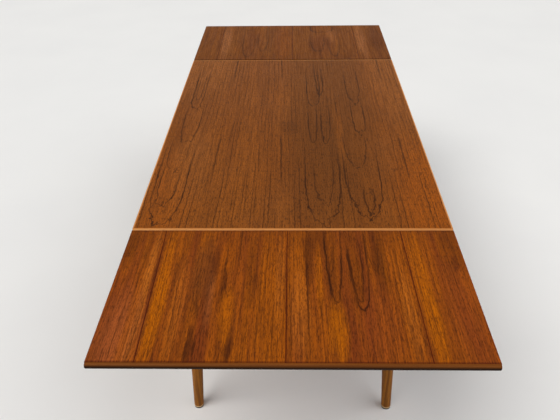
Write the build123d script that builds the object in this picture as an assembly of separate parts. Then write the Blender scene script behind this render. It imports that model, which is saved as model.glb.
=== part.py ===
from build123d import *
import os

# Draw-leaf dining table with both leaves pulled out. Millimetres.
# The length runs along Y, the width along X and +Z is up. The origin is on the floor under the middle.
# The near end is at -Y and the far end at +Y. "s" is a distance from the middle towards one end.

# Overall
height = 730.0  # floor to the face of the top
width = 820.0  # across the main top
top_length = 1200.0  # the main top over its lips
travel = 450.0  # how far a leaf comes out
board = 14.0  # thickness of the top, the leaves and the centre board

# Main top and leaves
end_lip = 8.0  # depth of the round-nosed oak lip
side_lip = 4.0  # depth of the thin oak lip along the top's sides
lip_round = 1.5  # rounding along the side lips
nose_round = 3.0  # rounding at the ends of the round-nosed lips
leaf_width = 818.0
seam = 2.0  # gap between a leaf and the main top
felt_thick = 1.0  # felt between the main top and the centre board
peg_radius = 6.0
peg_play = 0.5
peg_x = 330.0
peg_bite = 8.0  # how deep a peg is glued into the main top
peg_tail = 5.0  # how far a peg reaches below the centre board
peg_chamfer = 1.5

# Aprons
apron_height = 85.0
apron_thick = 22.0
apron_x = 275.0  # middle of the side aprons
apron_y = 537.0  # middle of the end aprons
apron_short = 14.0  # an apron stops this far short of the crossing of the middles
apron_round = 2.0
tenon_thick = 9.0
tenon_height = 60.0
tenon_depth = 18.0
tenon_root = 60.0  # length of the tenon bar that runs back inside the apron

# Legs
leg_top = (273.0, 535.0)
foot = (303.0, 565.0)
leg_top_radius = 25.0
foot_radius = 15.0
foot_chamfer = 1.5
leg_cut = 0.5  # the leg ends this far below the apron's top edge
glide_radius = 14.5
glide_thick = 5.0
glide_chamfer = 1.0

# Corner blocks
block_side = 45.0
block_height = 52.0
block_drop = 12.0  # below the apron's top edge
block_screw_in = 14.0  # the screw heads sit this far in front of the apron
block_screw_along = 24.0  # from the corner, along the apron
block_screw_apart = 10.0  # above and below the middle of the block

# Centre board, bearers and felt
centre_half = 148.0
centre_board_x = 395.0
bearer_y = 100.0
bearer_thick = 20.0
bearer_height = 75.0
bearer_tenon = 8.0
bearer_shoulder = 10.0  # the tenon is this much lower than the bearer at each edge
felt_y = 130.0
felt_wide = 18.0
felt_long = 640.0

# Lopers, the sloping bars that carry a leaf
loper_wide = 24.0
loper_deep = 38.0
loper_inner = 40.0  # s of the inner end
loper_outer = 1020.0  # s of the outer end
loper_nose = 12.0
loper_chamfer = 1.5
loper_ease = 0.2  # keeps the sloping face off the leaf's inner corner
loper_x = {"near": 200.0, "far": 165.0}
slot_play = 0.5
floor_play = 0.3
stop_side = {"near": 1, "far": -1}  # the stop dowels stand out away from the middle, or towards it
stop_s = 65.0
stop_radius = 4.0
stop_reach = 9.0
stop_play = 2.5

# Screws
screw_radius = 2.0
head_radius = 4.0
head_deep = 2.5
driver_slot = 1.0
driver_deep = 1.2
well_radius = 4.5
loper_screw_s = (650.0, 800.0, 950.0)
loper_screw_long = 30.0
loper_screw_bite = 10.0
board_screw_long = 38.0
board_screw_at = ((apron_x, 60.0), (60.0, bearer_y))
block_screw_long = 26.0

# Worked out from the sizes above
underside = height - board
apron_top = underside - felt_thick - board
apron_low = apron_top - apron_height
centre_top = apron_top + board
slope = (board + felt_thick) / travel
leaf_inner = top_length / 2 + seam
leaf_outer = top_length / 2 + travel
apron_face_x = apron_x - apron_thick / 2
apron_face_y = apron_y - apron_thick / 2
SPARE = 1.0  # how far a cutting shape passes a face

SIDES = (("left", -1), ("right", 1))
ENDS = (("near", -1), ("far", 1))

os.makedirs("parts", exist_ok=True)


def save(name, *solids):
    """Write one named piece."""
    piece = solids[0] if len(solids) == 1 else Compound(children=list(solids))
    piece.label = name
    export_step(piece, f"parts/{name}.step")


def block(x0, x1, y0, y1, z0, z1):
    """A box between two corners, given in any order."""
    middle = Pos((x0 + x1) / 2, (y0 + y1) / 2, (z0 + z1) / 2)
    return middle * Box(abs(x1 - x0), abs(y1 - y0), abs(z1 - z0))


def prism(points, x0, x1):
    """A bar along X whose outline is given as (y, z) points."""
    outline = Polyline(*[(0, y, z) for y, z in points], close=True)
    return Pos(x0, 0, 0) * extrude(make_face(outline), amount=x1 - x0, dir=(1, 0, 0))


def screw_hole(length):
    """The room a countersunk screw takes, head face at the origin, pointing down."""
    shank = Pos(0, 0, -length / 2) * Cylinder(screw_radius, length)
    head = Pos(0, 0, -head_deep / 2) * Cone(screw_radius, head_radius, head_deep)
    return head + shank


def screw(length):
    """The screw that fills such a hole, with a slot across its head."""
    slot = Pos(0, 0, -driver_deep / 2) * Box(2 * head_radius, driver_slot, driver_deep)
    return screw_hole(length) - slot


def well(depth):
    """The bore above a sunk screw head."""
    return Cylinder(well_radius, depth, align=(Align.CENTER, Align.CENTER, Align.MIN))


def loper_top(s):
    """Height of the lopers' sloping upper face at s, which is the same however far the leaf is out."""
    return underside - loper_ease - (leaf_inner - s) * slope


def loper_bottom(s):
    return loper_top(s) - loper_deep


def loper_channel(sy, s0, s1, x0, x1):
    """The slot in a cross rail for a loper, from s0 to s1, open at the top."""
    s0, s1 = s0 - SPARE, s1 + SPARE
    top = apron_top + SPARE
    points = [(s0, loper_bottom(s0)), (s1, loper_bottom(s1))]
    points = [(sy * s, z - floor_play) for s, z in points] + [(sy * s1, top), (sy * s0, top)]
    return prism(points, min(x0, x1), max(x0, x1))


# ---------------------------------------------------------------- main top and leaves

def nosed_lip(sy, inner, half_width):
    """An oak lip with a half-round nose, across the end of a board."""
    radius = board / 2
    shoulder = sy * (inner + end_lip - radius)
    tip = sy * (inner + end_lip)
    nose = ThreePointArc((0, shoulder, underside), (0, tip, height - radius), (0, shoulder, height))
    outline = Polyline(
        (0, shoulder, height), (0, sy * inner, height), (0, sy * inner, underside), (0, shoulder, underside)
    )
    face = make_face(Curve() + [nose, outline])
    lip = Pos(-half_width, 0, 0) * extrude(face, amount=2 * half_width, dir=(1, 0, 0))
    ends = lip.faces().sort_by(Axis.X)
    rims = ends[0].edges() + ends[-1].edges()
    return fillet([e for e in rims if abs(e.center().Y) > inner + SPARE / 2], nose_round)


def make_main_top():
    panel_x = width / 2 - side_lip
    panel_y = top_length / 2 - end_lip
    panel = block(-panel_x, panel_x, -panel_y, panel_y, underside, height)
    for side, sx in SIDES:
        low = apron_top - peg_tail
        peg = Cylinder(peg_radius, underside + peg_bite - low, align=(Align.CENTER, Align.CENTER, Align.MIN))
        peg = Pos(sx * peg_x, 0, low) * chamfer(peg.edges().sort_by(Axis.Z)[0], peg_chamfer)
        panel -= peg
        save(f"top_peg_{side}", peg)
        lip = block(sx * panel_x, sx * width / 2, -panel_y, panel_y, underside, height)
        outer = lip.faces().sort_by(Axis.X)[0 if sx < 0 else -1].edges().filter_by(Axis.Y)
        save(f"top_lip_{side}", fillet(outer, lip_round))
    for end, sy in ENDS:
        save(f"top_lip_{end}", nosed_lip(sy, panel_y, width / 2))
    save("top_panel", panel)


def loper_bar(sy, x):
    """One loper: sloping inside the frame, flat where it is screwed under the leaf."""
    nose = loper_outer - 2 * loper_nose
    outline = [
        (loper_inner, loper_top(loper_inner)),
        (leaf_inner, loper_top(leaf_inner)),
        (leaf_inner, underside),
        (loper_outer, underside),
        (loper_outer, loper_bottom(loper_outer) + loper_nose),
        (nose, loper_bottom(nose)),
        (loper_inner, loper_bottom(loper_inner)),
    ]
    bar = prism([(sy * s, z) for s, z in outline], x - loper_wide / 2, x + loper_wide / 2)
    long_edges = [e for e in bar.edges() if e.length > leaf_inner]
    low_edges = ShapeList(long_edges).sort_by(Axis.Z)[:2]
    return chamfer(low_edges, loper_chamfer)


def make_leaf(end, sy):
    lip_inner = leaf_outer - end_lip
    half = leaf_width / 2
    panel = block(-half, half, sy * leaf_inner, sy * lip_inner, underside, height)
    head_z = underside + loper_screw_bite - loper_screw_long
    screws = []
    for side, sx in SIDES:
        x = sx * loper_x[end]
        bar = loper_bar(sy, x)
        for s in loper_screw_s:
            place = Pos(x, sy * s, head_z) * Rot(180, 0, 0)
            hole = place * screw_hole(loper_screw_long)
            panel -= hole
            bar -= hole
            bar -= place * well(loper_deep)
            screws.append(place * screw(loper_screw_long))
        middle = (loper_top(stop_s) + loper_bottom(stop_s)) / 2
        shift = sx * stop_side[end] * stop_reach / 2
        dowel = Rot(0, 90, 0) * Cylinder(stop_radius, loper_wide + stop_reach)
        dowel = Pos(x + shift, sy * stop_s, middle) * dowel
        save(f"{end}_loper_{side}", bar - dowel)
        save(f"{end}_stop_{side}", dowel)
    save(f"{end}_loper_screws", *screws)
    save(f"{end}_leaf_panel", panel)
    save(f"{end}_leaf_lip", nosed_lip(sy, lip_inner, half))


# ---------------------------------------------------------------- frame

def leg_blank(sx, sy):
    """A round tapered leg, leaning out both ways, cut level at the floor end and at the top."""
    low = Vector(sx * foot[0], sy * foot[1], glide_thick)
    high = Vector(sx * leg_top[0], sy * leg_top[1], apron_top)
    length = (high - low).length
    extra = 20.0
    taper = (leg_top_radius - foot_radius) / length
    cone = Cone(
        foot_radius - taper * extra,
        leg_top_radius + taper * extra,
        length + 2 * extra,
        align=(Align.CENTER, Align.CENTER, Align.MIN),
    )
    way = (high - low).normalized()
    leaning = Plane(origin=low - way * extra, z_dir=way) * cone
    reach = 3 * leg_top_radius
    middle = (low + high) / 2
    room = block(
        middle.X - reach, middle.X + reach, middle.Y - reach, middle.Y + reach, glide_thick, apron_top - leg_cut
    )
    leg = leaning & room
    return chamfer(leg.edges().sort_by(Axis.Z)[0], foot_chamfer)


def tenon_bar(sx, sy, along):
    """The tenon that joins an apron running along X or Y to its leg."""
    low = apron_low + (apron_height - tenon_height) / 2
    high = low + tenon_height
    half = tenon_thick / 2
    if along == "X":
        tip = apron_x - leg_top_radius + tenon_depth
        return block(sx * (tip - tenon_root), sx * tip, sy * apron_y - half, sy * apron_y + half, low, high)
    tip = apron_y - leg_top_radius + tenon_depth
    return block(sx * apron_x - half, sx * apron_x + half, sy * (tip - tenon_root), sy * tip, low, high)


def block_screw_places(sx, sy):
    """Where a corner block's two screws start: one into the side apron, one into the end apron."""
    middle = apron_top - block_drop - block_height / 2
    to_side = Pos(
        sx * (apron_face_x - block_screw_in), sy * (apron_face_y - block_screw_along), middle + block_screw_apart
    )
    to_end = Pos(
        sx * (apron_face_x - block_screw_along), sy * (apron_face_y - block_screw_in), middle - block_screw_apart
    )
    return to_side * Rot(0, -90 * sx, 0), to_end * Rot(90 * sy, 0, 0)


def corner_block(sx, sy, leg):
    """A triangular block glued and screwed into the corner between two aprons and a leg."""
    high = apron_top - block_drop
    corner = (
        (apron_face_x, apron_face_y),
        (apron_face_x - block_side, apron_face_y),
        (apron_face_x, apron_face_y - block_side),
    )
    outline = Polyline(*[(sx * x, sy * y, high) for x, y in corner], close=True)
    wedge = extrude(make_face(outline), amount=block_height, dir=(0, 0, -1)) - leg
    for place in block_screw_places(sx, sy):
        wedge -= place * screw_hole(block_screw_long)
        wedge -= place * well(block_side)
    return wedge


def bearer_tenon_block(sx, sy):
    return block(
        sx * (apron_face_x - SPARE),
        sx * (apron_face_x + bearer_tenon),
        sy * bearer_y - tenon_thick / 2,
        sy * bearer_y + tenon_thick / 2,
        apron_top - bearer_height + bearer_shoulder,
        apron_top - bearer_shoulder,
    )


def board_screw_places():
    return [
        Pos(sx * x, sy * y, centre_top)
        for x, y in board_screw_at
        for sx in (-1, 1)
        for sy in (-1, 1)
    ]


def side_apron(sx, legs):
    half = apron_y - apron_short
    outside = apron_x + apron_thick / 2
    rail = block(sx * apron_face_x, sx * outside, -half, half, apron_low, apron_top)
    rail = fillet(rail.edges().filter_by(Axis.Y).sort_by(Axis.Z)[:2], apron_round)
    for end, sy in ENDS:
        rail -= legs[sx, sy]
        rail += tenon_bar(sx, sy, "Y")
        rail -= bearer_tenon_block(sx, sy)
        rail -= block_screw_places(sx, sy)[0] * screw_hole(block_screw_long)
    for place in board_screw_places():
        if place.position.X * sx > apron_face_x:
            rail -= place * screw_hole(board_screw_long)
    return rail


def end_apron(end, sy, legs):
    half = apron_x - apron_short
    outside = apron_y + apron_thick / 2
    rail = block(-half, half, sy * apron_face_y, sy * outside, apron_low, apron_top)
    rail = fillet(rail.edges().filter_by(Axis.X).sort_by(Axis.Z)[:2], apron_round)
    channel = loper_wide / 2 + slot_play
    for side, sx in SIDES:
        rail -= legs[sx, sy]
        rail += tenon_bar(sx, sy, "X")
        x = sx * loper_x[end]
        rail -= loper_channel(sy, apron_face_y, outside, x - channel, x + channel)
        rail -= block_screw_places(sx, sy)[1] * screw_hole(block_screw_long)
    return rail


def bearer(end, sy):
    """A cross rail under the centre board. Its own lopers fit its slots, the other leaf's pass with room."""
    other = "far" if end == "near" else "near"
    low_s = bearer_y - bearer_thick / 2
    high_s = bearer_y + bearer_thick / 2
    rail = block(
        -apron_face_x, apron_face_x, sy * low_s, sy * high_s, apron_top - bearer_height, apron_top
    )
    channel = loper_wide / 2 + slot_play
    for side, sx in SIDES:
        rail += bearer_tenon_block(sx, sy)
        x = sx * loper_x[end]
        rail -= loper_channel(sy, low_s, high_s, x - channel, x + channel)
        plain = sx * (loper_x[other] - stop_side[other] * channel)
        dowel = sx * (loper_x[other] + stop_side[other] * (loper_wide / 2 + stop_reach + stop_play))
        rail -= loper_channel(-sy, -high_s, -low_s, plain, dowel)
    for place in board_screw_places():
        if abs(place.position.X) < apron_face_x and place.position.Y * sy > 0:
            rail -= place * screw_hole(board_screw_long)
    return rail


def make_frame():
    legs = {(sx, sy): leg_blank(sx, sy) for _, sx in SIDES for _, sy in ENDS}
    block_screws = []
    for end, sy in ENDS:
        for side, sx in SIDES:
            leg = legs[sx, sy]
            save(f"leg_{end}_{side}", leg - tenon_bar(sx, sy, "X") - tenon_bar(sx, sy, "Y"))
            glide = Cylinder(glide_radius, glide_thick)
            glide = chamfer(glide.edges().sort_by(Axis.Z)[0], glide_chamfer)
            save(f"glide_{end}_{side}", Pos(sx * foot[0], sy * foot[1], glide_thick / 2) * glide)
            save(f"corner_block_{end}_{side}", corner_block(sx, sy, leg))
            block_screws += [place * screw(block_screw_long) for place in block_screw_places(sx, sy)]
        save(f"end_apron_{end}", end_apron(end, sy, legs))
        save(f"bearer_{end}", bearer(end, sy))
    for side, sx in SIDES:
        save(f"side_apron_{side}", side_apron(sx, legs))
    save("corner_block_screws", *block_screws)


def make_centre_board():
    centre = block(-centre_board_x, centre_board_x, -centre_half, centre_half, apron_top, centre_top)
    hole = Cylinder(peg_radius + peg_play, board + 2 * SPARE)
    for side, sx in SIDES:
        centre -= Pos(sx * peg_x, 0, apron_top + board / 2) * hole
    for place in board_screw_places():
        centre -= place * screw_hole(board_screw_long)
    save("centre_board", centre)
    save("centre_board_screws", *[place * screw(board_screw_long) for place in board_screw_places()])
    for end, sy in ENDS:
        y0 = sy * (felt_y - felt_wide / 2)
        y1 = sy * (felt_y + felt_wide / 2)
        strip = block(-felt_long / 2, felt_long / 2, y0, y1, centre_top, centre_top + felt_thick)
        save(f"felt_strip_{end}", strip)


make_main_top()
for end, sy in ENDS:
    make_leaf(end, sy)
make_frame()
make_centre_board()
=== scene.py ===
import math

import bpy
from mathutils import Matrix, Vector


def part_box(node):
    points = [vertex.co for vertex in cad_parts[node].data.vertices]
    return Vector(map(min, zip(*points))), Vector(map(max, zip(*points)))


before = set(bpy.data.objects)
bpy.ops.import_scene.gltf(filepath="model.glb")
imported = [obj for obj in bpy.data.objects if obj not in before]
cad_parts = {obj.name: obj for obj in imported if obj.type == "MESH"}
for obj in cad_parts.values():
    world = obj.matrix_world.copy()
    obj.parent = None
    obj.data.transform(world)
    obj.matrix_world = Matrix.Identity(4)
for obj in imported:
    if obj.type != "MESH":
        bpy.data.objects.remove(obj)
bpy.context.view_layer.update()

# Places read from the frame, in metres. The near end of the table is at -Y.
LEAF_LOW, LEAF_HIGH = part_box("near_leaf_panel")
LEAF_INNER = -LEAF_HIGH[1]
LEAF_OUTER = -LEAF_LOW[1]
FACE_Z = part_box("top_panel")[1][2]
LEG_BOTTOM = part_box("leg_near_left")[0][2]
ENDS = ("near", "far")
SIDES = ("left", "right")

# Height of the pores in the bump, in metres
VENEER_RELIEF = 0.00008
GRAIN_RELIEF = 0.00010

# The photo's view: a standing person looks down the table from just past its near end. Angles are in
# degrees, the place in metres and the lens in millimetres on a 36 mm sensor.
CAMERA_PLACE = (0.003, -1.877, 1.660)
CAMERA_PITCH = 34.20
CAMERA_ROLL = -0.83
CAMERA_YAW = -1.46
CAMERA_LENS = 39.87
CAMERA_SENSOR = 36.0


def srgb(red, green, blue):
    """A colour, 0 to 255, as the shader's linear numbers."""
    return tuple(
        v / 12.92 if v <= 0.04045 else ((v + 0.055) / 1.055) ** 2.4
        for v in (red / 255, green / 255, blue / 255)
    )


# Teak of the main top
TOP_BROWN = srgb(128, 69, 20)
TOP_LIGHT = srgb(150, 83, 24)
# Grey tone of the wood, also used for the painted sheen towards the far end
TOP_GREY_AND_SHEEN = srgb(142, 84, 38)
TOP_PALE = srgb(166, 100, 44)
TOP_ORANGE = srgb(166, 84, 10)
TOP_OLIVE = srgb(92, 56, 20)
TOP_DARK = srgb(88, 46, 12)
TOP_LINE = srgb(44, 20, 5)

# Teak of the leaves; the tones are the dark, light and warm ground of each leaf
NEAR_TONES = (srgb(126, 57, 18), srgb(164, 83, 10), srgb(174, 91, 6))
FAR_TONES = (srgb(124, 68, 16), srgb(138, 78, 17), srgb(150, 84, 16))
LEAF_RED = srgb(144, 66, 24)
LEAF_BROWN = srgb(146, 72, 7)
LEAF_ORANGE = srgb(160, 81, 4)
LEAF_GOLD = srgb(186, 98, 0)
LEAF_ROSE = srgb(178, 98, 54)
LEAF_LIGHT = srgb(198, 110, 30)
LEAF_TAN = srgb(166, 102, 52)
LEAF_PLUM = srgb(118, 62, 24)
LEAF_DARK = srgb(76, 34, 8)
LEAF_LINE = srgb(50, 20, 5)
LEAF_BLACK = srgb(28, 12, 5)
GLUE_LINE = srgb(64, 14, 4)

# Solid woods
# A paler copy of the lip oak, the painted highlight of the far lip's nose
OAK_PALE_HIGHLIGHT = srgb(232, 170, 108)
OAK_LIGHT = srgb(206, 140, 76)
OAK_DARK = srgb(176, 110, 52)
LIP_LIGHT = srgb(122, 68, 20)
LIP_DARK = srgb(96, 50, 10)
LEG_LIGHT = srgb(152, 94, 22)
LEG_DARK = srgb(112, 64, 8)
FOOT_PALE = srgb(226, 196, 150)
BEECH_LIGHT = srgb(196, 152, 108)
BEECH_DARK = srgb(170, 122, 80)


# ---------------------------------------------------------------- shader building

class Shader:
    """A node material written as short calls. Each call takes numbers, tuples or sockets."""

    def __init__(self, name):
        self.material = bpy.data.materials.new(name)
        self.material.use_nodes = True
        self.tree = self.material.node_tree
        self.tree.nodes.clear()
        place = self.node("ShaderNodeTexCoord").outputs["Object"]
        self.x, self.y, self.z = self.node("ShaderNodeSeparateXYZ", {0: place}).outputs

    def node(self, kind, inputs=None, **settings):
        made = self.tree.nodes.new(kind)
        for key, value in settings.items():
            setattr(made, key, value)
        for key, value in (inputs or {}).items():
            socket = made.inputs[key]
            if isinstance(value, bpy.types.NodeSocket):
                self.tree.links.new(value, socket)
            elif value is not None:
                socket.default_value = value
        return made

    def math(self, what, a, b=None):
        return self.node("ShaderNodeMath", {0: a, 1: b}, operation=what).outputs[0]

    def add(self, a, b):
        return self.math("ADD", a, b)

    def sub(self, a, b):
        return self.math("SUBTRACT", a, b)

    def mul(self, a, b):
        return self.math("MULTIPLY", a, b)

    def abs(self, a):
        return self.math("ABSOLUTE", a)

    def length(self, a, b):
        """The length of the slanted side over two sides at right angles."""
        return self.math("SQRT", self.add(self.mul(a, a), self.mul(b, b)))

    def noise(self, x, y, z, detail=2.0, rough=0.5, distortion=0.0):
        """Noise from 0 to 1 at a point that is already scaled."""
        inputs = {
            "Vector": self.node("ShaderNodeCombineXYZ", {0: x, 1: y, 2: z}).outputs[0],
            "Scale": 1.0,
            "Detail": detail,
            "Roughness": rough,
            "Distortion": distortion,
        }
        return self.node("ShaderNodeTexNoise", inputs).outputs[0]

    def wander(self, x, y, z, size, detail=2.0):
        """Noise centred on 0, plus or minus about size / 2."""
        return self.mul(self.sub(self.noise(x, y, z, detail), 0.5), size)

    def step(self, value, low, high):
        """0 below low, 1 above high and smooth between; low above high turns it round."""
        inputs = {"Value": value, "From Min": low, "From Max": high}
        made = self.node("ShaderNodeMapRange", inputs, interpolation_type="SMOOTHSTEP", clamp=True)
        return made.outputs[0]

    def mix(self, amount, a, b):
        """The colour a turned towards b by an amount from 0 to 1."""
        made = self.node("ShaderNodeMix", {"Factor": amount}, data_type="RGBA")
        for key, value in ((6, a), (7, b)):
            if isinstance(value, bpy.types.NodeSocket):
                self.tree.links.new(value, made.inputs[key])
            else:
                made.inputs[key].default_value = (*value, 1.0)
        return made.outputs[2]

    def finish(self, colour, roughness, height, relief, **fixed):
        """Surface with its colour, roughness and bump; relief is the bump's height in metres."""
        bump = self.node("ShaderNodeBump", {"Strength": 1.0, "Distance": relief, "Height": height})
        inputs = {"Base Color": colour, "Roughness": roughness, "Normal": bump.outputs[0]}
        surface = self.node("ShaderNodeBsdfPrincipled", inputs)
        for key, value in fixed.items():
            surface.inputs[key.replace("_", " ")].default_value = value
        self.node("ShaderNodeOutputMaterial", {"Surface": surface.outputs[0]})
        return self.material


# ---------------------------------------------------------------- the figure of the teak

def bend(s, across, along, seed, sway, ripple, ragged):
    """The grain's own x and y: it sways over a hand's width, ripples finely and ends raggedly."""
    x = s.add(s.x, s.wander(s.mul(s.x, across), s.mul(s.y, along), seed, sway))
    x = s.add(x, s.wander(s.mul(s.x, 90.0), s.mul(s.y, 30.0), seed + 1.0, ripple, 3.0))
    y = s.add(s.y, s.wander(s.mul(s.x, 55.0), s.mul(s.y, 25.0), seed + 2.0, ragged, 4.0))
    return x, y


def fibres(s, across, along, seed):
    """Fine streaks and pores along the grain: (streaks, pores), both 0 to 1."""
    streaks = s.noise(s.mul(across, 300.0), s.mul(along, 7.0), seed, 4.0, 0.7)
    fine = s.noise(s.mul(across, 620.0), s.mul(along, 90.0), s.add(seed, 3.0), 1.0)
    long = s.noise(s.mul(across, 400.0), s.mul(along, 32.0), s.add(seed, 6.0), 2.0, 0.6)
    pores = s.math("MAXIMUM", s.mul(s.step(fine, 0.55, 0.62), 0.8), s.step(long, 0.57, 0.66))
    return s.step(streaks, 0.40, 0.62), pores


def heart_field(s, across, heart, depth):
    """Distance from a log's middle line: contours are tongues whose tips lie where the depth shrinks."""
    return s.length(s.sub(across, heart), depth)


def growth_lines(s, field, depth, period, thick, seed):
    """Dark lines where the field crosses a multiple of period: (soft shade, sharp line)."""
    crest = 0.92
    value = s.add(s.mul(field, 1.0 / period), s.wander(s.mul(field, 0.6 / period), seed, 0.0, 1.6, 1.0))
    part = s.math("FRACT", value)
    shade = s.mul(s.step(part, 0.25, crest), s.step(part, 1.0, crest))
    flat = s.math("DIVIDE", depth, field)
    slope = s.math("SQRT", s.math("MAXIMUM", s.sub(1.0, s.mul(flat, flat)), 0.002))
    away = s.math("DIVIDE", s.mul(s.abs(s.sub(part, crest)), period), slope)
    which = s.mul(s.math("FLOOR", value), 0.73)
    strength = s.step(s.noise(which, s.mul(s.y, 3.0), seed, 3.0), 0.36, 0.60)
    return s.mul(shade, s.add(s.mul(strength, 0.6), 0.4)), s.mul(s.step(away, thick, 0.0), strength)


def spot(s, x, y, middle, reach):
    """A soft patch, 1 at its middle and 0 at its reach across and along."""
    across = s.mul(s.sub(x, middle[0]), 1.0 / reach[0])
    along = s.mul(s.sub(y, middle[1]), 1.0 / reach[1])
    return s.step(s.add(s.mul(across, across), s.mul(along, along)), 1.0, 0.0)


def tongue(s, x, y, tip, half_width, opening, length, thick):
    """A dark line bent round a tip that points to the near end, with two arms running to +Y."""
    across = s.mul(s.sub(x, tip[0]), 1.0 / half_width)
    along = s.math("MAXIMUM", s.mul(s.sub(tip[1] + opening, y), 1.0 / opening), 0.0)
    away = s.length(across, along)
    tilt_x = s.mul(across, 1.0 / half_width)
    tilt_y = s.mul(along, 2.0 / opening)
    slope = s.math("SQRT", s.add(s.mul(tilt_x, tilt_x), s.add(s.mul(tilt_y, tilt_y), 1.0)))
    off = s.math("DIVIDE", s.mul(s.abs(s.sub(away, 1.0)), away), slope)
    broken = s.step(s.noise(s.mul(x, 30.0), s.mul(y, 12.0), 40.0 * half_width, 3.0), 0.34, 0.62)
    line = s.mul(s.step(off, 1.5 * thick, 0.0), s.add(s.mul(broken, 0.36), 0.64))
    return s.mul(line, s.step(y, tip[1] + length, tip[1] + 0.5 * length))


def draw_tongues(s, colour, x, y, tongues, tint):
    for *shape, amount in tongues:
        colour = s.mix(s.mul(tongue(s, x, y, *shape), amount), colour, tint)
    return colour


# ---------------------------------------------------------------- teak materials

# Places are in metres. A heart is the x of a log's middle line in the main top, and the bold loops hang
# on about the same lines. A spot is (middle, reach, amount, tint), and the main top's spots add how their
# edges run. A tongue is (tip, half width, opening, length, thickness, amount).
TOP_HEARTS = (-0.345, 0.080, 0.222)
TOP_LOOPS = (-0.345, 0.080, 0.215)
TOP_SPOTS = (
    ((0.40, -0.60), (0.15, 0.60), 0.75, TOP_ORANGE, "straight"),
    ((-0.40, -0.50), (0.16, 0.40), 0.40, TOP_ORANGE, "straight"),
    ((-0.36, 0.60), (0.22, 0.45), 0.45, TOP_PALE, "straight"),
    ((0.40, 0.50), (0.13, 0.60), 0.50, TOP_PALE, "straight"),
    ((0.08, -0.30), (0.14, 0.60), 0.35, TOP_DARK, "straight"),
    ((0.13, 0.20), (0.20, 0.95), 0.42, TOP_OLIVE, "wavy"),
    ((0.155, -0.05), (0.016, 0.26), 0.45, TOP_LIGHT, "straight"),
    ((-0.01, -0.02), (0.045, 0.07), 0.30, TOP_LINE, "wavy"),
    ((0.222, -0.41), (0.010, 0.028), 0.55, TOP_LINE, "ragged"),
    ((0.212, -0.36), (0.036, 0.28), 0.34, TOP_DARK, "wavy"),
    ((-0.30, -0.25), (0.08, 0.26), 0.30, TOP_PALE, "wavy"),
)
TOP_TONGUES = (
    ((-0.346, -0.582), 0.044, 0.17, 0.50, 0.0022, 1.00),
    ((-0.352, -0.490), 0.026, 0.09, 0.25, 0.0022, 0.90),
    ((-0.350, -0.300), 0.030, 0.10, 0.26, 0.0020, 0.70),
    ((-0.338, -0.130), 0.026, 0.12, 0.36, 0.0022, 0.85),
    ((-0.342, 0.130), 0.020, 0.12, 0.46, 0.0024, 0.95),
    ((-0.342, 0.200), 0.010, 0.08, 0.30, 0.0022, 0.70),
    ((0.088, -0.574), 0.050, 0.22, 0.50, 0.0022, 0.95),
    ((0.092, -0.475), 0.028, 0.12, 0.30, 0.0020, 0.80),
    ((0.070, -0.125), 0.014, 0.12, 0.34, 0.0022, 0.80),
    ((0.112, -0.135), 0.014, 0.12, 0.40, 0.0022, 0.85),
    ((0.076, 0.140), 0.022, 0.14, 0.42, 0.0024, 0.95),
    ((0.100, 0.240), 0.012, 0.12, 0.36, 0.0026, 0.90),
    ((0.205, -0.548), 0.052, 0.24, 0.42, 0.0022, 0.95),
    ((0.214, -0.515), 0.014, 0.06, 0.13, 0.0028, 0.90),
    ((0.196, -0.290), 0.034, 0.16, 0.26, 0.0022, 0.85),
    ((0.224, -0.075), 0.022, 0.14, 0.34, 0.0022, 0.90),
    ((0.222, 0.165), 0.026, 0.16, 0.40, 0.0024, 0.95),
)


def top_ground(s, edges):
    """The main top's colour before its lines: broad tones, a painted sheen that greys it towards the far
    end, and soft patches.
    """
    broad = s.noise(s.mul(s.x, 18.0), s.mul(s.y, 1.2), 11.0, 2.0)
    cloud = s.noise(s.mul(s.x, 4.0), s.mul(s.y, 3.0), 13.0, 2.0)
    colour = s.mix(s.step(broad, 0.25, 0.75), TOP_BROWN, TOP_LIGHT)
    colour = s.mix(s.mul(s.step(cloud, 0.4, 0.7), 0.30), colour, TOP_GREY_AND_SHEEN)
    # Painted sheen: the top turns greyer towards the far end.
    colour = s.mix(s.mul(s.step(s.y, -0.10, 0.60), 0.45), colour, TOP_GREY_AND_SHEEN)
    for middle, reach, amount, tint, edge in TOP_SPOTS:
        colour = s.mix(s.mul(spot(s, *edges[edge], middle, reach), amount), colour, tint)
    return colour


def top_lines(s, x, y):
    """Growth lines round the three hearts: (shade, line, strength of the line, less among the loops)."""
    steep = s.sub(0.0310, s.mul(y, 0.046))
    gentle = s.sub(0.0333, s.mul(y, 0.028))
    depth = s.math("MINIMUM", steep, gentle)
    left, centre, right = TOP_HEARTS
    field = s.math("MINIMUM", heart_field(s, x, left, depth), heart_field(s, x, centre, depth))
    field = s.math("MINIMUM", field, heart_field(s, x, right, s.sub(depth, 0.0035)))
    shade, line = growth_lines(s, field, depth, period=0.0125, thick=0.0022, seed=5.0)
    left, centre, right = [s.abs(s.sub(s.x, loop)) for loop in TOP_LOOPS]
    nearest = s.math("MINIMUM", s.math("MINIMUM", left, centre), right)
    outside = s.step(nearest, 0.035, 0.060)
    return shade, line, s.add(0.16, s.mul(outside, 0.54))


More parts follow.
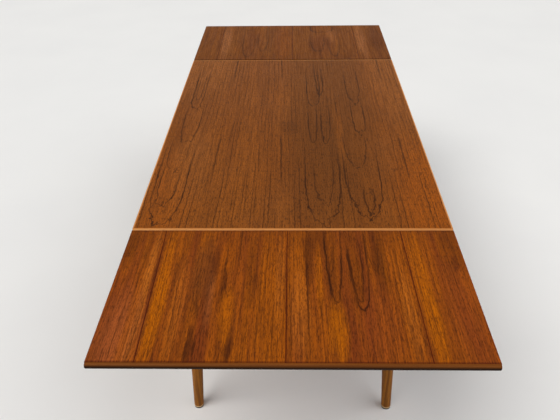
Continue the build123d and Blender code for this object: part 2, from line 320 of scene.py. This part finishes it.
def teak_top():
    """The main top: wide even veneer, long fine lines, three hearts and the boldest loops."""
    s = Shader("teak_top")
    x, y = bend(s, across=7.0, along=2.2, seed=1.0, sway=0.022, ripple=0.0070, ragged=0.16)
    edges = {"straight": (s.x, s.y), "wavy": (x, s.y), "ragged": (x, y)}
    shade, line, strength = top_lines(s, x, y)
    streaks, pores = fibres(s, s.x, s.y, 7.0)
    colour = top_ground(s, edges)
    colour = s.mix(s.mul(streaks, 0.46), colour, TOP_DARK)
    colour = s.mix(s.mul(shade, 0.20), colour, TOP_DARK)
    colour = s.mix(s.mul(line, strength), colour, TOP_LINE)
    colour = draw_tongues(s, colour, x, y, TOP_TONGUES, TOP_LINE)
    colour = s.mix(s.mul(pores, 0.66), colour, TOP_LINE)
    roughness = s.add(0.38, s.mul(streaks, 0.12))
    height = s.sub(s.mul(streaks, 0.2), s.add(s.mul(pores, 0.7), s.mul(line, 0.3)))
    return s.finish(colour, roughness, height, VENEER_RELIEF, Specular_IOR_Level=0.15)


# A cut is (x where it starts at the seam, lean towards the outer edge). Each strip is measured from its own
# left edge, and its heart lies at the same place in all of them.
STRIP_HEART = 0.155
FIRST_STRIP_EDGE = -0.612
CUT_START_Y = 0.60
NEAR_CUTS = ((-0.319, 0.018), (-0.0115, 0.0), (0.2735, 0.011))
NEAR_SPOTS = (
    ((-0.294, -0.900), (0.024, 0.210), 0.95, LEAF_GOLD),
    ((-0.298, -0.700), (0.018, 0.180), 0.60, LEAF_GOLD),
    ((-0.333, -0.820), (0.014, 0.340), 0.75, LEAF_LIGHT),
    ((-0.370, -0.930), (0.050, 0.260), 0.65, LEAF_RED),
    ((-0.360, -0.980), (0.060, 0.200), 0.35, LEAF_ROSE),
    ((-0.345, -0.930), (0.012, 0.220), 0.45, LEAF_ORANGE),
    ((-0.327, -0.960), (0.0020, 0.140), 0.60, LEAF_LINE),
    ((-0.395, -0.660), (0.022, 0.100), 0.55, LEAF_DARK),
    ((-0.250, -0.880), (0.024, 0.200), 0.32, LEAF_LIGHT),
    ((-0.205, -0.760), (0.036, 0.160), 0.70, LEAF_PLUM),
    ((-0.182, -0.860), (0.014, 0.120), 0.22, LEAF_TAN),
    ((-0.150, -0.960), (0.010, 0.100), 0.45, LEAF_DARK),
    ((-0.090, -0.760), (0.018, 0.180), 0.40, LEAF_DARK),
    ((-0.180, -0.730), (0.012, 0.090), 0.50, LEAF_DARK),
    ((-0.210, -1.000), (0.010, 0.065), 0.80, LEAF_DARK),
    ((-0.198, -1.000), (0.004, 0.050), 0.70, LEAF_BLACK),
    ((-0.130, -1.000), (0.013, 0.070), 0.80, LEAF_DARK),
    ((-0.150, -0.720), (0.024, 0.100), 0.50, LEAF_ORANGE),
    ((-0.155, -0.820), (0.012, 0.100), 0.60, LEAF_DARK),
    ((-0.140, -0.900), (0.022, 0.120), 0.60, LEAF_GOLD),
    ((-0.045, -0.880), (0.050, 0.260), 0.45, LEAF_ORANGE),
    ((-0.028, -0.780), (0.014, 0.240), 0.38, LEAF_LIGHT),
    ((0.018, -0.900), (0.030, 0.180), 0.45, LEAF_LIGHT),
    ((0.060, -0.640), (0.050, 0.080), 0.45, LEAF_DARK),
    ((-0.001, -0.950), (0.0020, 0.120), 0.60, LEAF_LINE),
    ((0.040, -0.720), (0.014, 0.150), 0.60, LEAF_DARK),
    ((0.035, -0.840), (0.0030, 0.240), 0.75, LEAF_LINE),
    ((0.098, -0.950), (0.030, 0.120), 0.85, LEAF_GOLD),
    ((0.065, -0.780), (0.012, 0.150), 0.50, LEAF_GOLD),
    ((0.093, -0.760), (0.020, 0.120), 0.45, LEAF_DARK),
    ((0.150, -0.780), (0.030, 0.160), 0.35, LEAF_DARK),
    ((0.205, -0.740), (0.026, 0.200), 0.60, LEAF_DARK),
    ((0.190, -0.930), (0.050, 0.180), 0.55, LEAF_RED),
    ((0.255, -0.900), (0.020, 0.200), 0.40, LEAF_LIGHT),
    ((0.302, -0.920), (0.022, 0.190), 0.90, LEAF_GOLD),
    ((0.300, -0.720), (0.022, 0.180), 0.55, LEAF_GOLD),
    ((0.388, -0.740), (0.012, 0.040), 0.70, LEAF_DARK),
    ((0.385, -0.680), (0.035, 0.140), 0.45, LEAF_DARK),
    ((0.375, -0.920), (0.050, 0.260), 0.65, LEAF_RED),
)
NEAR_TONGUES = (
    ((0.100, -0.858), 0.020, 0.24, 0.34, 0.0028, 0.90),
    ((0.090, -0.780), 0.011, 0.14, 0.20, 0.0024, 0.50),
    ((0.155, -0.900), 0.023, 0.27, 0.36, 0.0027, 0.80),
    ((0.150, -0.860), 0.014, 0.18, 0.26, 0.0024, 0.65),
    ((0.146, -0.815), 0.008, 0.10, 0.16, 0.0022, 0.50),
    ((0.195, -0.760), 0.016, 0.16, 0.22, 0.0024, 0.45),
    ((-0.140, -0.850), 0.016, 0.20, 0.28, 0.0024, 0.45),
    ((-0.200, -0.900), 0.014, 0.18, 0.26, 0.0024, 0.35),
)
FAR_CUTS = ((-0.315, 0.0), (0.0, 0.0), (0.277, 0.0))
FAR_SPOTS = (
    ((-0.290, 0.830), (0.026, 0.300), 0.80, LEAF_TAN),
    ((0.305, 0.830), (0.028, 0.300), 0.75, LEAF_TAN),
    ((-0.170, 0.800), (0.060, 0.220), 0.35, LEAF_PLUM),
    ((-0.040, 0.820), (0.050, 0.300), 0.30, LEAF_BROWN),
    ((0.130, 0.780), (0.070, 0.160), 0.55, LEAF_PLUM),
    ((0.170, 0.900), (0.030, 0.120), 0.45, LEAF_TAN),
    ((0.375, 0.860), (0.045, 0.240), 0.45, LEAF_DARK),
    ((-0.380, 0.830), (0.045, 0.260), 0.12, LEAF_DARK),
    ((-0.325, 0.830), (0.007, 0.300), 0.45, LEAF_DARK),
    ((0.266, 0.830), (0.007, 0.300), 0.45, LEAF_DARK),
)
FAR_TONGUES = (
    ((0.135, 0.945), 0.050, 0.05, 0.12, 0.0050, 0.60),
    ((-0.190, 0.640), 0.030, 0.20, 0.36, 0.0035, 0.60),
    ((-0.130, 0.700), 0.022, 0.16, 0.30, 0.0035, 0.55),
    ((0.110, 0.690), 0.030, 0.16, 0.28, 0.0035, 0.55),
    ((0.180, 0.640), 0.024, 0.16, 0.30, 0.0035, 0.50),
)


def veneer_strips(s, cuts):
    """The strips between the cuts: (strip number from 0, x of its left edge, glue line from 0 to 1)."""
    # The side of the leaf cuts the first strip, which would begin well to the left of it.
    last = FIRST_STRIP_EDGE
    edge = FIRST_STRIP_EDGE
    strip = 0.0
    glue = 0.0
    for cut, lean in cuts:
        line = s.sub(s.x, s.add(cut, s.mul(s.sub(s.abs(s.y), CUT_START_Y), lean)))
        past = s.math("GREATER_THAN", line, 0.0)
        strip = s.add(strip, past)
        edge = s.add(edge, s.mul(past, cut - last))
        glue = s.math("MAXIMUM", glue, s.step(s.abs(line), 0.0026, 0.0))
        last = cut
    return strip, edge, glue


def leaf_ground(s, x, y, across, slip, tones, spots):
    """A leaf's colour before its lines: broad tones, warm patches, and the listed spots."""
    dark, light, warm = tones
    broad = s.noise(s.mul(across, 30.0), s.mul(y, 1.4), slip, 3.0)
    patch = s.noise(s.mul(across, 20.0), s.mul(y, 1.8), s.add(slip, 9.0), 2.0)
    band = s.noise(s.mul(across, 110.0), s.mul(y, 2.5), s.add(slip, 5.0), 2.0)
    colour = s.mix(s.step(broad, 0.30, 0.70), dark, light)
    colour = s.mix(s.mul(s.step(patch, 0.42, 0.66), 0.60), colour, warm)
    for middle, reach, amount, tint in spots:
        colour = s.mix(s.mul(spot(s, x, y, middle, reach), amount), colour, tint)
    return s.mix(s.mul(s.step(band, 0.45, 0.68), 0.22), colour, LEAF_DARK)


def leaf_ends(s, colour):
    """Darker towards the seam, with painted shade darkest in its gap, and a thin dark line along the outer
    lip.
    """
    inner = s.sub(s.abs(s.y), LEAF_INNER)
    colour = s.mix(s.mul(s.step(inner, 0.110, 0.0), 0.20), colour, LEAF_DARK)
    # Painted shade in the seam's gap.
    colour = s.mix(s.mul(s.step(inner, 0.010, 0.0), 0.40), colour, LEAF_DARK)
    rim = s.sub(LEAF_OUTER, s.abs(s.y))
    return s.mix(s.mul(s.step(rim, 0.0060, 0.0025), 0.60), colour, GLUE_LINE)


def teak_leaf(name, seed, middle_y, tones, cuts, spots, tongues):
    """A leaf: four strips of one veneer laid side by side, with a thin dark glue line at each cut."""
    s = Shader(name)
    x, y = bend(s, across=12.0, along=3.0, seed=seed, sway=0.012, ripple=0.0060, ragged=0.10)
    strip, edge, glue = veneer_strips(s, cuts)
    slip = s.add(s.mul(strip, 0.35), seed)
    across = s.sub(x, edge)
    streaks, pores = fibres(s, s.sub(s.x, edge), s.y, slip)
    depth = s.sub(0.030, s.mul(s.sub(y, middle_y), 0.05))
    field = heart_field(s, across, STRIP_HEART, depth)
    shade, line = growth_lines(s, field, depth, period=0.0110, thick=0.0018, seed=seed + 5.0)
    colour = leaf_ground(s, x, y, across, slip, tones, spots)
    colour = s.mix(s.mul(streaks, 0.45), colour, LEAF_DARK)
    colour = s.mix(s.mul(shade, 0.12), colour, LEAF_DARK)
    colour = s.mix(s.mul(line, 0.40), colour, LEAF_LINE)
    colour = draw_tongues(s, colour, x, y, tongues, LEAF_BLACK)
    colour = s.mix(s.mul(pores, 0.58), colour, LEAF_LINE)
    colour = s.mix(s.mul(glue, 0.90), colour, GLUE_LINE)
    colour = leaf_ends(s, colour)
    roughness = s.add(0.36, s.mul(streaks, 0.12))
    height = s.sub(s.mul(streaks, 0.2), s.add(s.mul(pores, 0.7), s.mul(glue, 0.5)))
    return s.finish(colour, roughness, height, VENEER_RELIEF, Specular_IOR_Level=0.11)


# ---------------------------------------------------------------- oak, beech and the rest

def plain_wood(name, along, tones, fleck, seed, gloss=0.30, under=None, ring=None):
    """Solid wood with its grain along one axis.

    tones is (light, dark). under is (low, high, amount) and paints shade below a height, darkening the wood
    towards black. ring is (height, tint) and pales the foot below it.
    """
    s = Shader(name)
    light, dark = tones
    axes = {"x": s.x, "y": s.y, "z": s.z}
    run = axes.pop(along)
    a, b = axes.values()
    a = s.add(a, s.wander(s.mul(run, 3.0), seed, 0.0, 0.012))
    rings = s.noise(s.mul(a, 160.0), s.mul(b, 160.0), s.mul(run, 1.6), 2.0, 0.55, 0.3)
    fibre = s.noise(s.mul(a, 900.0), s.mul(b, 900.0), s.mul(run, 14.0), 2.0, 0.6)
    pore = s.step(s.noise(s.mul(a, 1500.0), s.mul(b, 1500.0), s.mul(run, 60.0), 1.0), 0.60, 0.72)
    colour = s.mix(s.step(rings, 0.3, 0.7), dark, light)
    colour = s.mix(s.mul(s.step(fibre, 0.4, 0.8), 0.35), colour, dark)
    colour = s.mix(s.mul(pore, fleck), colour, tuple(v * 0.35 for v in dark))
    if under:
        low, high, amount = under
        # Painted shade: the wood darkens towards black below a height.
        colour = s.mix(s.mul(s.step(s.z, high, low), amount), colour, tuple(v * 0.12 for v in dark))
    if ring:
        top, tint = ring
        colour = s.mix(s.mul(s.step(s.z, top + 0.0008, top - 0.0008), 0.8), colour, tint)
    roughness = s.add(0.48, s.mul(fibre, 0.14))
    height = s.sub(s.mul(fibre, 0.3), s.mul(pore, 0.7))
    return s.finish(colour, roughness, height, GRAIN_RELIEF, Specular_IOR_Level=gloss)


def oak_lip_near():
    """The light lip at the near seam, with painted shade on its round lower half."""
    shade = (FACE_Z - 0.0055, FACE_Z - 0.0005, 0.72)
    tones = (OAK_LIGHT, OAK_DARK)
    return plain_wood("oak_lip_across", "x", tones, fleck=0.4, seed=31.0, gloss=0.20, under=shade)


# The far lip is a paler copy of the lip oak: a painted highlight along its nose.
def oak_lip_far_highlit():
    return plain_wood("oak_lip_far_highlit", "x", (OAK_PALE_HIGHLIGHT, OAK_LIGHT), fleck=0.3, seed=31.0)


def oak_lip_side():
    return plain_wood("oak_lip_along", "y", (OAK_LIGHT, OAK_DARK), fleck=0.4, seed=32.0)


def oak_lip_leaf():
    """The stained lip along a leaf's outer end, with painted shade making it almost black under its nose.
    """
    shade = (FACE_Z - 0.0056, FACE_Z - 0.0002, 0.97)
    tones = (LIP_LIGHT, LIP_DARK)
    return plain_wood("oak_lip_leaf", "x", tones, fleck=0.4, seed=30.0, gloss=0.08, under=shade)


def oak_leg():
    """Stained oak, with a pale band at the foot."""
    ring = (LEG_BOTTOM + 0.0052, FOOT_PALE)
    return plain_wood("oak_leg", "z", (LEG_LIGHT, LEG_DARK), fleck=0.45, seed=33.0, gloss=0.15, ring=ring)


def oak_apron(name, along, seed):
    return plain_wood(name, along, (LEG_LIGHT, LEG_DARK), fleck=0.45, seed=seed, gloss=0.15)


def beech(name, along, seed):
    return plain_wood(name, along, (BEECH_LIGHT, BEECH_DARK), fleck=0.2, seed=seed)


def steel():
    s = Shader("screw_steel")
    grain = s.noise(s.mul(s.x, 3000.0), s.mul(s.y, 3000.0), s.mul(s.z, 3000.0), 2.0)
    colour = s.mix(grain, srgb(150, 148, 142), srgb(190, 188, 180))
    return s.finish(colour, s.add(0.3, s.mul(grain, 0.2)), grain, 0.00003, Metallic=1.0)


def felt():
    s = Shader("felt")
    fuzz = s.noise(s.mul(s.x, 1400.0), s.mul(s.y, 1400.0), s.mul(s.z, 1400.0), 4.0, 0.7)
    colour = s.mix(s.step(fuzz, 0.3, 0.7), srgb(28, 58, 40), srgb(52, 92, 66))
    return s.finish(colour, 0.95, fuzz, 0.0004)


def nylon():
    s = Shader("glide_nylon")
    grain = s.noise(s.mul(s.x, 900.0), s.mul(s.y, 900.0), s.mul(s.z, 900.0), 2.0)
    colour = s.mix(grain, srgb(14, 12, 11), srgb(28, 25, 23))
    return s.finish(colour, s.add(0.45, s.mul(grain, 0.15)), grain, 0.0001, Specular_IOR_Level=0.2)


def floor_tone():
    s = Shader("floor")
    tone = s.noise(s.mul(s.x, 2.0), s.mul(s.y, 2.0), 0.0, 3.0)
    colour = s.mix(tone, srgb(226, 226, 226), srgb(233, 233, 232))
    return s.finish(colour, 0.6, tone, 0.0002)


# ---------------------------------------------------------------- which piece is made of what

def paint(material, *nodes):
    """Give CAD nodes one material."""
    for name in nodes:
        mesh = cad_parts[name].data
        mesh.materials.clear()
        mesh.materials.append(material)


def paint_boards():
    near = teak_leaf("teak_leaf_near", 20.0, -0.83, NEAR_TONES, NEAR_CUTS, NEAR_SPOTS, NEAR_TONGUES)
    far = teak_leaf("teak_leaf_far", 27.0, 0.83, FAR_TONES, FAR_CUTS, FAR_SPOTS, FAR_TONGUES)
    paint(teak_top(), "top_panel")
    paint(near, "near_leaf_panel")
    paint(far, "far_leaf_panel")


def paint_lips():
    paint(oak_lip_near(), "top_lip_near")
    paint(oak_lip_far_highlit(), "top_lip_far")
    paint(oak_lip_side(), "top_lip_left", "top_lip_right")
    paint(oak_lip_leaf(), "near_leaf_lip", "far_leaf_lip")


def paint_frame():
    corners = [f"{end}_{side}" for end in ENDS for side in SIDES]
    paint(oak_leg(), *[f"leg_{corner}" for corner in corners])
    paint(nylon(), *[f"glide_{corner}" for corner in corners])
    paint(oak_apron("oak_apron_across", "x", 34.0), *[f"end_apron_{end}" for end in ENDS])
    paint(oak_apron("oak_apron_along", "y", 35.0), *[f"side_apron_{side}" for side in SIDES])
    paint(felt(), *[f"felt_strip_{end}" for end in ENDS])
    stops = [f"{end}_stop_{side}" for end in ENDS for side in SIDES]
    bearers = [f"bearer_{end}" for end in ENDS]
    paint(beech("beech_across", "x", 36.0), "centre_board", *bearers, *stops)
    paint(beech("beech_along", "y", 37.0), *[f"{end}_loper_{side}" for end in ENDS for side in SIDES])
    blocks = [f"corner_block_{corner}" for corner in corners]
    pegs = [f"top_peg_{side}" for side in SIDES]
    paint(beech("beech_upright", "z", 38.0), *blocks, *pegs)
    paint(steel(), "corner_block_screws", "centre_board_screws", "near_loper_screws", "far_loper_screws")


# ---------------------------------------------------------------- floor, light and camera

def make_floor():
    """A plain pale floor that reaches past the picture on every side."""
    far = 40.0
    corners = [(-far, -far, 0), (far, -far, 0), (far, far, 0), (-far, far, 0)]
    mesh = bpy.data.meshes.new("floor")
    mesh.from_pydata(corners, [], [(0, 1, 2, 3)])
    mesh.materials.append(floor_tone())
    floor = bpy.data.objects.new("floor", mesh)
    bpy.context.collection.objects.link(floor)


def soft_sun(name, way, strength, spread, colour):
    """A broad even light shining along a direction."""
    data = bpy.data.lights.new(name, "SUN")
    data.energy = strength
    data.angle = math.radians(spread)
    data.color = colour
    lamp = bpy.data.objects.new(name, data)
    lamp.location = -3.0 * Vector(way)
    lamp.rotation_euler = Vector(way).to_track_quat("-Z", "Y").to_euler()
    bpy.context.collection.objects.link(lamp)


def make_world():
    """A pale band round the horizon under a darker studio ceiling."""
    world = bpy.data.worlds.new("studio")
    world.use_nodes = True
    nodes, links = world.node_tree.nodes, world.node_tree.links
    place = nodes.new("ShaderNodeTexCoord")
    split = nodes.new("ShaderNodeSeparateXYZ")
    ramp = nodes.new("ShaderNodeMapRange")
    ramp.interpolation_type = "SMOOTHSTEP"
    for key, value in (("From Min", 0.06), ("From Max", 0.32), ("To Min", 0.72), ("To Max", 0.14)):
        ramp.inputs[key].default_value = value
    links.new(place.outputs["Generated"], split.inputs[0])
    links.new(split.outputs[2], ramp.inputs["Value"])
    links.new(ramp.outputs[0], nodes["Background"].inputs["Strength"])
    nodes["Background"].inputs["Color"].default_value = (1.0, 0.995, 0.985, 1.0)
    bpy.context.scene.world = world


def make_camera():
    data = bpy.data.cameras.new("camera")
    data.sensor_width = CAMERA_SENSOR
    data.lens = CAMERA_LENS
    turn = Matrix.Rotation(-math.radians(CAMERA_YAW), 4, "Z")
    turn = turn @ Matrix.Rotation(math.pi / 2 - math.radians(CAMERA_PITCH), 4, "X")
    turn = turn @ Matrix.Rotation(math.radians(CAMERA_ROLL), 4, "Z")
    camera = bpy.data.objects.new("camera", data)
    camera.matrix_world = Matrix.Translation(CAMERA_PLACE) @ turn
    bpy.context.collection.objects.link(camera)
    bpy.context.scene.camera = camera


paint_boards()
paint_lips()
paint_frame()
make_floor()
soft_sun("left", (0.60, 0.50, -1.20), strength=2.25, spread=42.0, colour=(1.0, 0.98, 0.95))
soft_sun("right", (-0.80, 0.35, -1.20), strength=1.35, spread=55.0, colour=(0.98, 0.99, 1.0))
make_world()
make_camera()
bpy.context.scene.view_settings.view_transform = "Standard"
